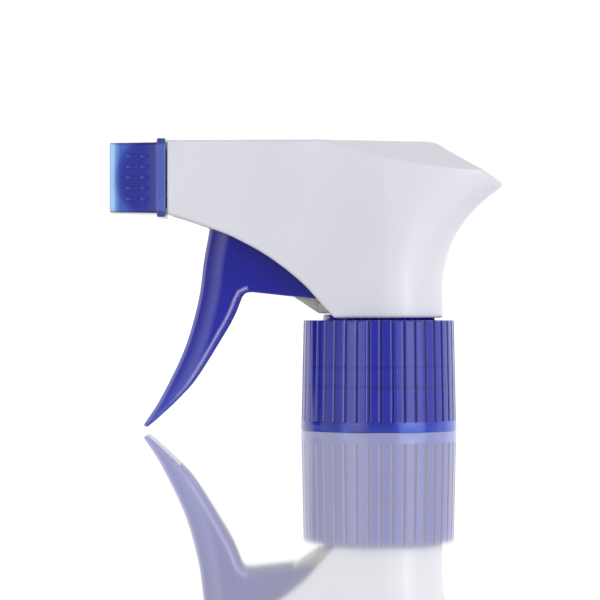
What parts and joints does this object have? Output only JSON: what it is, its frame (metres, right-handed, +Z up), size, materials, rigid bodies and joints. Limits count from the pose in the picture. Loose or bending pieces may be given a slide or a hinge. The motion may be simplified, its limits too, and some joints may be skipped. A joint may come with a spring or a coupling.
{
  "type": "trigger spray head",
  "caption": "Trigger spray head for a bottle neck: grooved screw closure, white shroud over a piston pump, pull trigger and square turning nozzle.",
  "frame": {"origin": "on the axis of the screw closure, in the plane of its lower rim", "axes": "+Z up along the bottle neck's axis, -X along the spray, +X towards the tail of the shroud, +Y across the head"},
  "size_m": [0.0855, 0.034, 0.0636],
  "materials": {
    "natural_plastic": "uncoloured translucent polypropylene",
    "shroud_white": "cool white satin moulding",
    "trigger_blue": "glossy royal blue, slightly translucent",
    "closure_blue": "glossy royal blue, slightly translucent",
    "nozzle_blue": "translucent royal blue",
    "seal_white": "soft polyethylene",
    "seal_rubber": "black rubber",
    "spring_steel": "drawn stainless wire",
    "ball_steel": "polished stainless steel"
  },
  "bodies": {
    "head": {"pump_body": "natural_plastic", "shroud": "shroud_white", "tube_adapter": "natural_plastic", "gasket": "seal_white", "swirl_insert": "natural_plastic", "nozzle_seal": "seal_rubber", "piston_spring": "spring_steel", "outlet_spring": "spring_steel"},
    "trigger": {"trigger": "trigger_blue"},
    "piston": {"piston_rod": "natural_plastic", "piston_cup": "seal_white"},
    "nozzle": {"nozzle_cap": "nozzle_blue"},
    "closure": {"closure": "closure_blue"},
    "inlet_valve": {"inlet_ball": "ball_steel"},
    "outlet_valve": {"outlet_ball": "ball_steel"}
  },
  "joints": [
    {"name": "trigger_pull", "type": "hinge", "parent": "head", "child": "trigger", "pos_m": [-0.04, 0, 0.0572], "axis": [0, -1, 0], "range_deg": [0, 20], "stiffness_Nm_per_rad": 0.6, "springref_deg": -17.19},
    {"name": "piston_stroke", "type": "slide", "parent": "head", "child": "piston", "axis": [1, 0, 0], "range_m": [0, 0.007], "deforming": ["piston_spring"]},
    {"name": "nozzle_turn", "type": "hinge", "parent": "head", "child": "nozzle", "pos_m": [-0.05, 0, 0.055], "axis": [-1, 0, 0], "continuous": true},
    {"name": "closure_turn", "type": "hinge", "parent": "head", "child": "closure", "pos_m": [0, 0, 0], "axis": [0, 0, 1], "continuous": true},
    {"name": "inlet_lift", "type": "slide", "parent": "head", "child": "inlet_valve", "axis": [0, 0, 1], "range_m": [0, 0.001]},
    {"name": "outlet_lift", "type": "slide", "parent": "head", "child": "outlet_valve", "axis": [-1, 0, 0], "range_m": [0, 0.0008], "stiffness_N_per_m": 40, "springref_m": -0.003, "deforming": ["outlet_spring"]}
  ],
  "couplings": [
    {"joint": "piston_stroke", "follows": "trigger_pull", "m_per_rad": 0.02}
  ]
}
